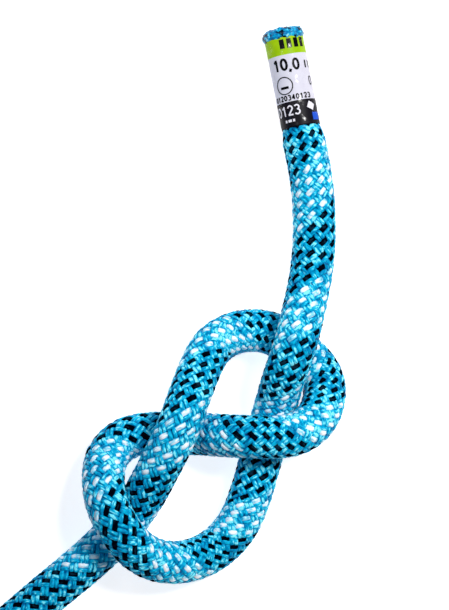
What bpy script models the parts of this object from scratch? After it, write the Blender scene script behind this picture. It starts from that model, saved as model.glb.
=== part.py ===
"""Dynamic climbing rope, 10 mm single rope, 30 m long, with a figure-eight tied near one end.

The knot and the tail beside it lie loose on the ground. The rest of the rope is wound into a
round coil held by three webbing ties. The rope is a kernmantle: a braided sheath round a core
of twisted strands, with a marker thread, melted ends and a printed label under clear shrink
sleeve at each end. Units are metres, +Z is up, and the origin is the centre of the footprint.
"""

from math import cos, pi, radians, sin, sqrt

import bmesh
import bpy
import numpy as np
from mathutils import Matrix, Vector

# Rope
ROPE_RADIUS = 0.00495
SHEATH_WALL = 0.0008
GAP = 0.0003
WELD = 0.00001

# Points along the knot's run: this many, and the first, at the label's end, falls this many
# route points from the tip
TUBE_STATIONS = 75
FIRST_STATION = 2.35

# Height of the centreline where the rope lies on the ground
LYING = 0.0050

# Core: one middle strand and a ring of six, twisted together, and a marker thread beside them
RING_STRANDS = 6
STRAND_RADIUS = 0.0012
STRAND_RING_RADIUS = 0.00265
CORE_TWIST_LENGTH = 0.160
MARKER_RADIUS = 0.00022
MARKER_RING_RADIUS = 0.00345

# Rope end: a melted tip, then the label and its clear sleeve on a narrowed stretch of sheath
TIP_LENGTH = 0.0018
TIP_EDGE = 0.0007
SHEATH_START = 0.0021
NARROW_END = 0.0243
NARROW_TAPER = 0.0028
NARROW = 0.778
CORE_NARROW = 0.735
LABEL_START = 0.0022
LABEL_END = 0.0231
LABEL_RADIUS = 0.00405
LABEL_WALL = 0.00015
SLEEVE_START = 0.0019
SLEEVE_END = 0.0238
SLEEVE_RADIUS = 0.00435
SLEEVE_WALL = 0.0003
TIP_STEPS = 16
LABEL_STEPS = 20

# How far along each side a rounded corner's middle point lies, as a share of its radius
ROUNDING = 0.3

# Coil: turns side by side in each layer, and layers on each other
TURNS = 7
LAYERS = 12
PITCH = 0.010
COIL_MID_RADIUS = 0.0593
COIL_OUTER = COIL_MID_RADIUS + PITCH * TURNS / 2
COIL_INNER = COIL_MID_RADIUS - PITCH * TURNS / 2
COIL_HEIGHT = PITCH * LAYERS
LAST_TURN = COIL_OUTER - PITCH / 2
COIL_CORNER = 0.004
COIL_STEPS = 40
ENTRY_ANGLE = radians(-50)
LEAD = 0.063
CHANNEL_RADIUS = ROPE_RADIUS + 0.0005
CHANNEL_SHARE = 0.9

# Far tail: it climbs out of the top layer and lies once round on top of the coil
TAIL_ARC = 0.443
TAIL_STRAIGHT = 0.027
TAIL_CLIMB = 0.045
CLIMB_END = TAIL_CLIMB * 1.4
TAIL_INSET = 0.007
TAIL_STATIONS = 34
CLIMB_STATIONS = 12

# Ties: flat webbing round the coil's section
TIE_ANGLES = [radians(a) for a in (-110, -220, -330)]
TIE_WIDTH = 0.020
TIE_THICKNESS = 0.0012
TIE_LIFT = 0.0001
TIE_CORNER = 0.005
TIE_FOOT_CORNER = 0.0015
TIE_SHOULDER = LAST_TURN - TAIL_INSET - 0.002

# Where the knot's own origin lies on the ground
KNOT_PLACE = Vector((0.10864, 0.03637, 0.0))

# The knot, from the near tip to where the rope runs off towards the coil. Heights are of the
# centreline: 5 mm where it lies on the ground and about 15.4 mm where it passes over itself. The
# short tail slopes down from its crossing to the tip.
KNOT_ROUTE = [
    (0.0133, 0.0636, 0.0050),
    (0.0152, 0.0538, 0.0058),
    (0.0179, 0.0401, 0.0069),
    (0.0200, 0.0289, 0.0076),
    (0.0207, 0.0178, 0.0083),
    (0.0199, 0.0071, 0.0099),
    (0.0182, -0.0011, 0.0129),
    (0.0164, -0.0084, 0.0154),
    (0.0141, -0.0153, 0.0141),
    (0.0127, -0.0200, 0.0098),
    (0.0115, -0.0243, 0.0064),
    (0.0098, -0.0301, 0.0050),
    (0.0082, -0.0363, 0.0050),
    (0.0061, -0.0437, 0.0050),
    (0.0029, -0.0510, 0.0050),
    (-0.0028, -0.0568, 0.0052),
    (-0.0110, -0.0594, 0.0082),
    (-0.0190, -0.0570, 0.0130),
    (-0.0238, -0.0517, 0.0157),
    (-0.0268, -0.0458, 0.0151),
    (-0.0279, -0.0399, 0.0112),
    (-0.0269, -0.0349, 0.0070),
    (-0.0233, -0.0312, 0.0051),
    (-0.0179, -0.0298, 0.0050),
    (-0.0111, -0.0297, 0.0050),
    (-0.0049, -0.0299, 0.0060),
    (-0.0014, -0.0300, 0.0094),
    (0.0020, -0.0301, 0.0129),
    (0.0055, -0.0302, 0.0150),
    (0.0100, -0.0303, 0.0154),
    (0.0158, -0.0297, 0.0140),
    (0.0206, -0.0268, 0.0112),
    (0.0229, -0.0219, 0.0082),
    (0.0225, -0.0167, 0.0060),
    (0.0196, -0.0126, 0.0050),
    (0.0152, -0.0089, 0.0050),
    (0.0101, -0.0064, 0.0050),
    (0.0040, -0.0061, 0.0050),
    (-0.0020, -0.0089, 0.0056),
    (-0.0058, -0.0151, 0.0090),
    (-0.0084, -0.0220, 0.0136),
    (-0.0110, -0.0290, 0.0154),
    (-0.0148, -0.0369, 0.0129),
    (-0.0190, -0.0446, 0.0080),
    (-0.0243, -0.0518, 0.0052),
    (-0.0307, -0.0584, 0.0050),
    (-0.0381, -0.0646, 0.0050),
    (-0.0452, -0.0706, 0.0050),
]

COLOURS = {
    "sheath": (0.02, 0.42, 0.68),
    "core": (0.86, 0.87, 0.88),
    "marker": (0.85, 0.25, 0.05),
    "melted": (0.02, 0.14, 0.30),
    "label": (0.78, 0.80, 0.86),
    "sleeve": (0.90, 0.92, 0.95),
    "webbing": (0.03, 0.03, 0.035),
}
ROUGHNESS = {"sleeve": 0.15, "melted": 0.35, "label": 0.4}


# ---------------------------------------------------------------- scene and materials


def clear_scene():
    for old in list(bpy.data.objects):
        bpy.data.objects.remove(old)


def new_collection(name):
    collection = bpy.data.collections.new(name)
    bpy.context.scene.collection.children.link(collection)
    return collection


def material(kind, name):
    """One Principled material for one piece."""
    made = bpy.data.materials.new(name)
    made.use_nodes = True
    shader = made.node_tree.nodes["Principled BSDF"]
    shader.inputs["Base Color"].default_value = (*COLOURS[kind], 1.0)
    shader.inputs["Roughness"].default_value = ROUGHNESS.get(kind, 0.6)
    shader.inputs["Metallic"].default_value = 0.0
    return made


def add(name, data, collection, kind=None):
    """An object for this mesh or curve, in its collection, with its own material."""
    made = bpy.data.objects.new(name, data)
    collection.objects.link(made)
    if kind:
        data.materials.append(material(kind, name + "_material"))
    return made


# ---------------------------------------------------------------- curves and frames


def smooth_curve(points, samples=4000):
    """Points along the C2 cubic spline through the route, and each route point's distance."""
    p = np.array(points)
    knots = np.r_[0, np.cumsum(np.linalg.norm(np.diff(p, axis=0), axis=1))]
    h = np.diff(knots)
    n = len(p)
    system = np.eye(n)
    right = np.zeros((n, 3))
    slopes = np.diff(p, axis=0) / h[:, None]
    for i in range(1, n - 1):
        system[i, i - 1 : i + 2] = h[i - 1], 2 * (h[i - 1] + h[i]), h[i]
        right[i] = 6 * (slopes[i] - slopes[i - 1])
    bend = np.linalg.solve(system, right)
    t = np.linspace(0, knots[-1], samples)
    i = np.clip(np.searchsorted(knots, t, side="right") - 1, 0, n - 2)
    before = (t - knots[i])[:, None]
    after = (knots[i + 1] - t)[:, None]
    span = h[i][:, None]
    curve = (bend[i] * after**3 + bend[i + 1] * before**3) / (6 * span)
    curve += (p[i] / span - bend[i] * span / 6) * after
    curve += (p[i + 1] / span - bend[i + 1] * span / 6) * before
    curve[:, 2] = np.maximum(curve[:, 2], LYING)
    return curve, np.interp(knots, t, distances(curve))


def distances(points):
    """Each point's distance along the line from its first point."""
    return np.r_[0, np.cumsum(np.linalg.norm(np.diff(points, axis=0), axis=1))]


def at_distances(points, wanted):
    s = distances(points)
    return np.stack([np.interp(wanted, s, points[:, k]) for k in range(3)], axis=1)


def frames(points):
    """Two unit vectors square to the line at each point, carried along it without twist."""
    tangents = np.gradient(points, axis=0)
    tangents /= np.linalg.norm(tangents, axis=1)[:, None]
    first = np.cross(tangents[0], (0, 0, 1))
    sides = [first / np.linalg.norm(first)]
    for tangent in tangents[1:]:
        side = sides[-1] - tangent * (sides[-1] @ tangent)
        sides.append(side / np.linalg.norm(side))
    sides = np.array(sides)
    return sides, np.cross(tangents, sides)


def fullness(s, narrow):
    """1 along the rope, falling to narrow where the label lies, for distances s from the tip."""
    return np.interp(s, [NARROW_END, NARROW_END + NARROW_TAPER], [narrow, 1.0])


# ---------------------------------------------------------------- shapes


def tube(name, points, radius, collection, kind, scale=None, resolution=2, caps=True):
    """A bevelled poly curve along the points, with filled caps. scale narrows it by point."""
    data = bpy.data.curves.new(name, "CURVE")
    data.dimensions = "3D"
    data.fill_mode = "FULL"
    data.bevel_depth = radius
    data.bevel_resolution = resolution
    data.use_fill_caps = caps
    spline = data.splines.new("POLY")
    spline.points.add(len(points) - 1)
    for i, point in enumerate(points):
        spline.points[i].co = (*point, 1.0)
        spline.points[i].radius = 1.0 if scale is None else scale[i]
    spline.use_smooth = True
    return add(name, data, collection, kind)


def as_mesh(curve_object, collection, kind=None):
    """The curve object's mesh, with its caps welded, as a new object in its place."""
    name = curve_object.name
    depsgraph = bpy.context.evaluated_depsgraph_get()
    mesh = bpy.data.meshes.new_from_object(curve_object.evaluated_get(depsgraph))
    place = curve_object.matrix_world.copy()
    bpy.data.objects.remove(curve_object)
    mesh.materials.clear()
    work = bmesh.new()
    work.from_mesh(mesh)
    bmesh.ops.remove_doubles(work, verts=work.verts, dist=WELD)
    work.to_mesh(mesh)
    work.free()
    made = add(name, mesh, collection, kind)
    made.matrix_world = place
    return made


def turned(name, profile, steps, collection, kind, closed=True):
    """A profile of (radius, height) points, turned about +Z. An open one has both ends on the axis."""
    mesh = bpy.data.meshes.new(name)
    edges = [(i, i + 1) for i in range(len(profile) - 1)]
    if closed:
        edges.append((len(profile) - 1, 0))
    mesh.from_pydata([(r, 0, z) for r, z in profile], edges, [])
    made = add(name, mesh, collection, kind)
    screw = made.modifiers.new("Turn", "SCREW")
    screw.steps = steps
    screw.render_steps = steps
    screw.use_merge_vertices = True
    screw.merge_threshold = WELD
    screw.use_smooth_shade = closed
    return made


def subtract(target, cutters, name):
    """Cuts each cutter from the target, and leaves the cutters as wire guides."""
    for cutter in cutters:
        cut = target.modifiers.new(name, "BOOLEAN")
        cut.operation = "DIFFERENCE"
        cut.solver = "EXACT"
        cut.object = cutter
        cutter.hide_render = True
        cutter.display_type = "WIRE"


def rounded_loop(corners, radii):
    """A closed outline through the corners, each rounded to its radius by three points."""
    points = []
    for i, (corner, radius) in enumerate(zip(corners, radii, strict=True)):
        here = Vector(corner)
        back = (Vector(corners[i - 1]) - here).normalized()
        on = (Vector(corners[(i + 1) % len(corners)]) - here).normalized()
        middle = here + (back + on) * radius * ROUNDING
        points += [here + back * radius, middle, here + on * radius]
    return points


# ---------------------------------------------------------------- the route


def knot_points():
    """The knot's route on the ground, with the straight lead up to the coil."""
    route = [Vector(point) + KNOT_PLACE for point in KNOT_ROUTE]
    heading = Vector((sin(ENTRY_ANGLE), -cos(ENTRY_ANGLE), 0))
    last = route[-1]
    route += [last + heading * LEAD * part for part in (1 / 3, 2 / 3, 1)]
    return route


def coil_centre():
    """The outermost turn is tangent to the lead at its end."""
    join = knot_points()[-1]
    return join - Vector((cos(ENTRY_ANGLE), sin(ENTRY_ANGLE), 0)) * LAST_TURN - Vector((0, 0, join.z))


def tail_point(distance):
    """A point of the far tail, which runs clockwise from the coil's last turn."""
    centre = coil_centre()
    along = min(distance, TAIL_ARC)
    climb = min(max(distance / TAIL_CLIMB, 0.0), 1.0)
    rise = climb * climb * (3 - 2 * climb)
    drift = along / TAIL_ARC
    radius = LAST_TURN - TAIL_INSET * drift * drift
    angle = ENTRY_ANGLE - along / (LAST_TURN - TAIL_INSET / 3)
    low = COIL_HEIGHT - PITCH / 2
    high = COIL_HEIGHT + ROPE_RADIUS + GAP
    point = centre + Vector((radius * cos(angle), radius * sin(angle), low + (high - low) * rise))
    heading = Vector((sin(angle), -cos(angle), 0))
    return point + heading * (distance - along)


def stations(near_first):
    """Distances along the knot's run: close together where the route bends."""
    curve, marks = smooth_curve(knot_points())
    length = distances(curve)[-1]
    index = np.linspace(FIRST_STATION, len(marks) - 1, TUBE_STATIONS)
    along = np.interp(index, np.arange(len(marks)), marks)
    along = along[along > NARROW_END + NARROW_TAPER + WELD]
    s = np.r_[near_first, NARROW_END, NARROW_END + NARROW_TAPER, along]
    s[-1] = length
    return curve, s


# ---------------------------------------------------------------- pieces


def make_sheath(parts):
    """The braided sheath over the knot's run, as a hollow tube narrowed under the label."""
    curve, s = stations(SHEATH_START)
    points = at_distances(curve, s)
    scale = fullness(s, NARROW)
    skin = tube("sheath", points, ROPE_RADIUS, parts, None, scale, resolution=4, caps=False)
    sheath = as_mesh(skin, parts, "sheath")
    wall = sheath.modifiers.new("Wall", "SOLIDIFY")
    wall.thickness = SHEATH_WALL
    wall.offset = -1.0
    wall.use_rim = True
    sheath.data.shade_smooth()
    return sheath


def make_core(parts):
    """Seven twisted core strands and the marker thread, inside the sheath."""
    curve, s = stations(SHEATH_START + GAP / 3)
    points = at_distances(curve, s)
    sides, ups = frames(points)
    full = fullness(s, CORE_NARROW)
    tube("core_strand_1", points, STRAND_RADIUS, parts, "core", full)
    turn = s * 2 * pi / CORE_TWIST_LENGTH
    for i in range(RING_STRANDS):
        angle = turn + i * 2 * pi / RING_STRANDS
        reach = STRAND_RING_RADIUS * full
        offset = sides * (reach * np.cos(angle))[:, None] + ups * (reach * np.sin(angle))[:, None]
        tube(f"core_strand_{i + 2}", points + offset, STRAND_RADIUS, parts, "core", full)
    angle = turn + pi / RING_STRANDS
    reach = MARKER_RING_RADIUS * full
    offset = sides * (reach * np.cos(angle))[:, None] + ups * (reach * np.sin(angle))[:, None]
    tube("marker_thread", points + offset, MARKER_RADIUS, parts, "marker")


def sleeve_profile(start, end, radius, wall):
    return [(radius + wall, end), (radius + wall, start), (radius, start), (radius, end)]


def make_end(parts, which, tip, inward):
    """The melted tip, the printed label and the clear sleeve, on the axis from tip inward."""
    turn = inward.to_track_quat("Z", "Y").to_matrix().to_4x4()
    place = Matrix.Translation(tip) @ turn
    cap_radius = ROPE_RADIUS * NARROW
    profile = [
        (0, TIP_LENGTH),
        (cap_radius, TIP_LENGTH),
        (cap_radius, TIP_EDGE),
        (cap_radius - TIP_EDGE * ROUNDING, TIP_EDGE * ROUNDING),
        (cap_radius - TIP_EDGE, 0),
        (0, 0),
    ]
    label = sleeve_profile(LABEL_START, LABEL_END, LABEL_RADIUS, LABEL_WALL)
    sleeve = sleeve_profile(SLEEVE_START, SLEEVE_END, SLEEVE_RADIUS, SLEEVE_WALL)
    pieces = [
        turned(f"melted_tip_{which}", profile, TIP_STEPS, parts, "melted", closed=False),
        turned(f"end_label_{which}", label, LABEL_STEPS, parts, "label"),
        turned(f"clear_sleeve_{which}", sleeve, LABEL_STEPS, parts, "sleeve"),
    ]
    for piece in pieces:
        piece.matrix_world = place


def make_tail(parts):
    """The far tail on top of the coil, as a plain tube narrowed under its label."""
    total = TAIL_ARC + TAIL_STRAIGHT
    full_end = total - NARROW_END - NARROW_TAPER
    climb = np.linspace(0, CLIMB_END, CLIMB_STATIONS)
    body = np.linspace(climb[-1], full_end, TAIL_STATIONS)
    s = np.r_[climb, body[1:], total - NARROW_END, total - SHEATH_START]
    points = [tail_point(d) for d in s]
    scale = fullness(total - s, NARROW)
    tube("rope_far_tail", points, ROPE_RADIUS, parts, "sheath", scale, resolution=3)
    tip = tail_point(total)
    make_end(parts, "far", tip, (tail_point(TAIL_ARC) - tip).normalized())


def make_coil(parts, cutters):
    """The coiled length as one turned ring, open where the rope runs in and out of it."""
    c = COIL_CORNER
    bevel = c * ROUNDING
    profile = []
    corners = [
        (COIL_OUTER, COIL_HEIGHT, -1, -1),
        (COIL_OUTER, 0, -1, 1),
        (COIL_INNER, 0, 1, 1),
        (COIL_INNER, COIL_HEIGHT, 1, -1),
    ]
    for i, (r, z, side, up) in enumerate(corners):
        rounding = [(r + side * c, z), (r + side * bevel, z + up * bevel), (r, z + up * c)]
        profile += rounding if i % 2 == 0 else rounding[::-1]
    coil = turned("rope_coil", profile, COIL_STEPS, parts, "sheath")
    coil.location = coil_centre()

    heading = Vector((sin(ENTRY_ANGLE), -cos(ENTRY_ANGLE), 0))
    join = knot_points()[-1]
    entry = [join + heading * GAP, join - heading * LEAD * CHANNEL_SHARE]
    marks = np.linspace(0, CLIMB_END, CLIMB_STATIONS)
    marks[0] = -GAP
    climb = [tail_point(d) for d in marks]
    tools = [
        as_mesh(tube("entry_channel", entry, CHANNEL_RADIUS, cutters, None, resolution=3), cutters),
        as_mesh(tube("climb_channel", climb, CHANNEL_RADIUS, cutters, None, resolution=3), cutters),
    ]
    depth = TIE_LIFT + TIE_THICKNESS + GAP
    groove = 2 * COIL_OUTER
    for i, angle in enumerate(TIE_ANGLES):
        bpy.ops.mesh.primitive_cube_add(size=1.0)
        box = bpy.context.object
        box.name = f"tie_groove_{i + 1}"
        box.scale = (groove, TIE_WIDTH + 2 * GAP, 2 * depth)
        box.rotation_euler = (0, 0, angle)
        box.location = coil_centre() + Vector((cos(angle), sin(angle), 0)) * groove / 2
        for other in box.users_collection:
            other.objects.unlink(box)
        cutters.objects.link(box)
        tools.append(box)
    subtract(coil, tools, "Cut")


def make_ties(parts):
    """Three webbing ties, each a closed band round the coil's section and over the far tail."""
    off = GAP + TIE_THICKNESS / 2
    inner = sqrt(COIL_INNER**2 - (TIE_WIDTH / 2) ** 2) - off - GAP
    outer = COIL_OUTER + off
    low = TIE_LIFT + TIE_THICKNESS / 2
    top = COIL_HEIGHT + GAP + 2 * ROPE_RADIUS + off
    inner_top = COIL_HEIGHT + off
    corners = [(inner, low), (outer, low), (outer, top), (TIE_SHOULDER, top), (inner, inner_top)]
    radii = [TIE_FOOT_CORNER, TIE_FOOT_CORNER, TIE_CORNER, TIE_CORNER, TIE_CORNER]
    outline = rounded_loop([(r, z, 0) for r, z in corners], radii)
    for i, angle in enumerate(TIE_ANGLES):
        name = f"coil_tie_{i + 1}"
        data = bpy.data.curves.new(name, "CURVE")
        data.dimensions = "3D"
        data.extrude = TIE_WIDTH / 2
        spline = data.splines.new("POLY")
        spline.points.add(len(outline) - 1)
        for point, place in zip(spline.points, outline, strict=True):
            point.co = (*place, 1.0)
        spline.use_cyclic_u = True
        tie = as_mesh(add(name, data, parts), parts, "webbing")
        upright = Matrix.Rotation(pi / 2, 4, "X")
        tie.matrix_world = Matrix.Translation(coil_centre()) @ Matrix.Rotation(angle, 4, "Z") @ upright
        thick = tie.modifiers.new("Thickness", "SOLIDIFY")
        thick.thickness = TIE_THICKNESS
        thick.offset = 0.0
        thick.use_rim = True
        thick.use_even_offset = True


def main():
    clear_scene()
    parts = new_collection("climbing_rope")
    cutters = new_collection("cutters")
    make_sheath(parts)
    make_core(parts)
    route = knot_points()
    make_end(parts, "near", route[0], (route[1] - route[0]).normalized())
    make_coil(parts, cutters)
    make_tail(parts)
    make_ties(parts)


main()
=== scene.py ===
"""The looks of the dynamic climbing rope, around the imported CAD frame.

One tube follows the rope's whole length: the knot, the lead, the wound coil and the far tail.
Along the knot and the lead it is covered by forty yarns, woven one pair over one pair. Units are
metres, in the CAD's own frame. Distances along the rope are from its near tip.
"""

from math import cos, pi, radians, sin, sqrt

import bpy
import numpy as np
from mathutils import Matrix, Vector, noise


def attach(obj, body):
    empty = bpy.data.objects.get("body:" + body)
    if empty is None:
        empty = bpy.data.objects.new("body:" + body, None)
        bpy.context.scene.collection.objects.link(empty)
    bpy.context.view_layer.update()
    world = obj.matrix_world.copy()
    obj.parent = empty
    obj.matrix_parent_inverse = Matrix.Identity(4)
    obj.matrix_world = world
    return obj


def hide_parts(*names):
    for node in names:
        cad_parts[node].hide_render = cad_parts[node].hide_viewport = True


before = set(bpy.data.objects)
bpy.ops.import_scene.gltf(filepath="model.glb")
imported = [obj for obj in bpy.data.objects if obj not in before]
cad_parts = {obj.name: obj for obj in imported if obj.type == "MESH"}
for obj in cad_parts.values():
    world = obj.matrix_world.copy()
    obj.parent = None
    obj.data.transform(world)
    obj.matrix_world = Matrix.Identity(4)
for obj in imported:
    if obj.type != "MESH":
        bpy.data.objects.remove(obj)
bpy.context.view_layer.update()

# ---------------------------------------------------------------- sizes, as in the CAD

ROPE_RADIUS = 0.00495
GAP = 0.0003
LYING = 0.0050

SHEATH_START = 0.0021
NARROW_END = 0.0243
NARROW_TAPER = 0.0028
LABEL_START = 0.0022
LABEL_END = 0.0231

TURNS = 7
LAYERS = 12
PITCH = 0.010
COIL_MID_RADIUS = 0.0593
COIL_OUTER = COIL_MID_RADIUS + PITCH * TURNS / 2
COIL_INNER = COIL_MID_RADIUS - PITCH * TURNS / 2
COIL_HEIGHT = PITCH * LAYERS
LAST_TURN = COIL_OUTER - PITCH / 2
ENTRY_ANGLE = radians(-50)
LEAD = 0.063

TAIL_ARC = 0.443
TAIL_STRAIGHT = 0.027
TAIL_CLIMB = 0.045
TAIL_INSET = 0.007

TIE_ANGLES = [radians(a) for a in (-110, -220, -330)]
TIE_WIDTH = 0.020
TIE_THICKNESS = 0.0012
TIE_LIFT = 0.0001
TIE_SHOULDER = LAST_TURN - TAIL_INSET - 0.002

KNOT_PLACE = np.array((0.10864, 0.03637, 0.0))
KNOT_ROUTE = [
    (0.0133, 0.0636, 0.0050),
    (0.0152, 0.0538, 0.0058),
    (0.0179, 0.0401, 0.0069),
    (0.0200, 0.0289, 0.0076),
    (0.0207, 0.0178, 0.0083),
    (0.0199, 0.0071, 0.0099),
    (0.0182, -0.0011, 0.0129),
    (0.0164, -0.0084, 0.0154),
    (0.0141, -0.0153, 0.0141),
    (0.0127, -0.0200, 0.0098),
    (0.0115, -0.0243, 0.0064),
    (0.0098, -0.0301, 0.0050),
    (0.0082, -0.0363, 0.0050),
    (0.0061, -0.0437, 0.0050),
    (0.0029, -0.0510, 0.0050),
    (-0.0028, -0.0568, 0.0052),
    (-0.0110, -0.0594, 0.0082),
    (-0.0190, -0.0570, 0.0130),
    (-0.0238, -0.0517, 0.0157),
    (-0.0268, -0.0458, 0.0151),
    (-0.0279, -0.0399, 0.0112),
    (-0.0269, -0.0349, 0.0070),
    (-0.0233, -0.0312, 0.0051),
    (-0.0179, -0.0298, 0.0050),
    (-0.0111, -0.0297, 0.0050),
    (-0.0049, -0.0299, 0.0060),
    (-0.0014, -0.0300, 0.0094),
    (0.0020, -0.0301, 0.0129),
    (0.0055, -0.0302, 0.0150),
    (0.0100, -0.0303, 0.0154),
    (0.0158, -0.0297, 0.0140),
    (0.0206, -0.0268, 0.0112),
    (0.0229, -0.0219, 0.0082),
    (0.0225, -0.0167, 0.0060),
    (0.0196, -0.0126, 0.0050),
    (0.0152, -0.0089, 0.0050),
    (0.0101, -0.0064, 0.0050),
    (0.0040, -0.0061, 0.0050),
    (-0.0020, -0.0089, 0.0056),
    (-0.0058, -0.0151, 0.0090),
    (-0.0084, -0.0220, 0.0136),
    (-0.0110, -0.0290, 0.0154),
    (-0.0148, -0.0369, 0.0129),
    (-0.0190, -0.0446, 0.0080),
    (-0.0243, -0.0518, 0.0052),
    (-0.0307, -0.0584, 0.0050),
    (-0.0381, -0.0646, 0.0050),
    (-0.0452, -0.0706, 0.0050),
]

# ---------------------------------------------------------------- sizes of the looks only

UP = np.array((0, 0, 1.0))
MILLIMETRES = 1000  # to a metre

# Camera straight above the knot, and how tall a strip of ground it takes in
CAMERA_HEIGHT = 1.0
VIEW_HEIGHT = 0.1419
SENSOR = 24.0

# Winding of the coil, in turns: a step sideways or up takes STEP of a turn, and the rope enters
# and leaves at ENTRY_TURN past the start of a cycle. Two layers take CYCLE turns, and the first step
# sideways and the step up begin at these turns of it.
STEP = 0.25
ENTRY_TURN = 0.17
CYCLE = 13
FIRST_INWARD = 0.75
RISE_INSIDE = 6.5
FIRST_OUTWARD = 7.25
RISE_OUTSIDE = 13.0
COIL_TURNS = CYCLE * LAYERS // 2
STATIONS_A_TURN = 40

# The rope is raised where it lies on a tie, less with each layer up
TIE_SQUEEZE = 0.0013
SQUEEZED_LAYERS = 6
SQUEEZE_LENGTH = 0.016

# Spacing of the route's points. The tube takes one in TUBE_EVERY of the knot's.
KNOT_STEP = 0.0005
TAIL_STEP = 0.004
TUBE_EVERY = 3
TUBE_SIDES = 14
NARROW_RADIUS = 0.0037
UNDER_RADIUS = 0.00415

# Braid: PAIRS pairs of yarns each way, which go once round in LAY_LENGTH, so a pair goes over and
# under the others in lengths of FLOAT. Its two yarns lie YARN_APART of a pair pitch to either side
# of its middle. Each has YARN_RINGS rings to a float.
PAIRS = 10
BLACK_PAIRS = 5
LAY_LENGTH = 0.029
FLOAT = LAY_LENGTH / PAIRS
YARN_APART = 0.245
YARN_START = 0.0206
YARN_END = 0.4150
YARN_RADIUS = 0.00436
YARN_WAVE = 0.00027
YARN_HALF_WIDTH = 0.00054
ACCENT_HALF_WIDTH = 0.00064
YARN_HALF_THICK = 0.00040
YARN_SIDES = 8
YARN_RINGS = 10
YARNS_A_PIECE = 5

# A yarn's section is a little squarer than an ellipse, and its place and width vary at random
SQUARE_SIDEWAYS = 0.85
SQUARE_OUTWARDS = 0.9
CROWN_WIDENING = 0.05
UNEVEN_WIDTH = 0.04
UNEVEN_RADIUS = 0.00003
SHADE_SHIFTS = 20
SHADE_SHIFT = 150

# The yarns are drawn in under the label, and sink into the full-size tube before the coil. The
# tube's own pattern starts at COVER_END.
DRAWN_IN = 0.87
DRAWN_IN_UNTIL = NARROW_END - 0.0008
DRAWN_OUT_FROM = NARROW_END + 0.0018
SINK_START = 0.4040
SINK_DEPTH = 0.0009
COVER_END = 0.4065

# How the braid lies along the rope, as (distance, crossings gained over an even lay, turn about the
# rope in pair pitches). Crossings are gained and lost because the sheath bunches in the bends.
BRAID = [
    (0.020, 0.0, -3.4),
    (0.045, 0.75, -3.4),
    (0.065, 0.0, -3.4),
    (0.075, 0.25, -3.3),
    (0.085, 1.5, -3.3),
    (0.115, 1.0, -3.4),
    (0.130, 2.75, -2.4),
    (0.155, 3.0, -2.8),
    (0.180, 3.0, -3.4),
    (0.200, 2.5, -3.8),
    (0.215, 2.5, -3.8),
    (0.240, 5.0, -4.0),
    (0.275, 9.25, -3.5),
    (0.285, 9.0, -4.0),
    (0.310, 9.25, -3.9),
    (0.340, 7.75, -3.6),
]
BRAID_STEP = 0.0005
BRAID_SMOOTHING = 13

# Stretch of the route that an end's axis follows
END_SPAN = 0.012

# Label: its bands as distances from the tip, the radius of its surface, and its wrinkles
LIME_END = 0.0063
WHITE_END = 0.0172
LABEL_SURFACE = 0.00452
LABEL_HEM = 0.0004
LABEL_SIDES = 96
LABEL_RINGS = 64
LABEL_WRINKLES = 0.00006
INK_LIFT = 0.00005
WRINKLE_SEED = 3.0
WRINKLES_ROUND = 2.2
WRINKLES_ALONG = 620

# Clear sleeve: how far it passes the label at each end, and the creases crowded near the tip
SLEEVE_SURFACE = 0.00470
SLEEVE_RINGS = 70
SLEEVE_PAST_TIP = 0.0003
SLEEVE_PAST_LABEL = 0.0006
SLEEVE_WRINKLES = 0.00004
SLEEVE_CREASES = 0.000035
CREASE_SEED = 9.0
CREASE_MIDDLE = 0.0045
CREASE_SPREAD = 0.0022
CREASE_GROWTH = 2.2
CREASES_ALONG = 0.6
CREASES_ROUND = 2.3
SLEEVE_GLOSS = 0.03

# Print on the label, with one painted highlight among it, as places (across from the label's top
# line, distance from the tip).
# Bars are (ink, start, end, width).
BARS = [("dark", (x, 0.0027), (x, 0.0049), 0.0011) for x in (-0.0008, 0.0009, 0.0026, 0.0043)]
BARS += [("dark", (x, 0.0081), (x, 0.0099), 0.0005) for x in (0.0042, 0.0056)]
SMALL_BARS = ((-0.0036, -0.0031), (-0.0028, -0.0019), (-0.0016, -0.0011))
BARS += [("pale", (start, 0.0216), (end, 0.0216), 0.0006) for start, end in SMALL_BARS]
BARS += [
    ("dark", (0.0002, 0.0098), (-0.0001, 0.0105), 0.0006),
    ("dark", (-0.0031, 0.0139), (-0.0011, 0.0139), 0.0006),
    # Not print: a painted highlight, the wide pale stroke on the black band
    ("pale", (0.0026, 0.0184), (0.0042, 0.0193), 0.0016),
    ("blue", (0.0034, 0.0213), (0.0056, 0.0213), 0.0018),
]
# Rows of numerals are (ink, numerals, place of the first one's top corner, height, width of its
# strokes, gap between two as a share of the height).
NUMERAL_ROWS = [
    ("dark", "10", (-0.0040, 0.0072), 0.0027, 0.00058, 0.12),
    ("dark", "0", (0.0008, 0.0075), 0.0026, 0.00058, 0.12),
    ("dark", "0", (0.0044, 0.0118), 0.0022, 0.00030, 0.12),
    ("dark", "0120340123", (-0.0056, 0.0157), 0.0012, 0.00030, 0.20),
    ("pale", "0123", (-0.0058, 0.0181), 0.0023, 0.00036, 0.12),
]
RING_PLACE = (-0.0021, 0.0134)
RING_RADIUS = 0.0020
RING_STROKE = 0.00026
NUMERAL_WIDTH = 0.6
STROKE_POINTS = 8
ARC_POINTS = 20

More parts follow.
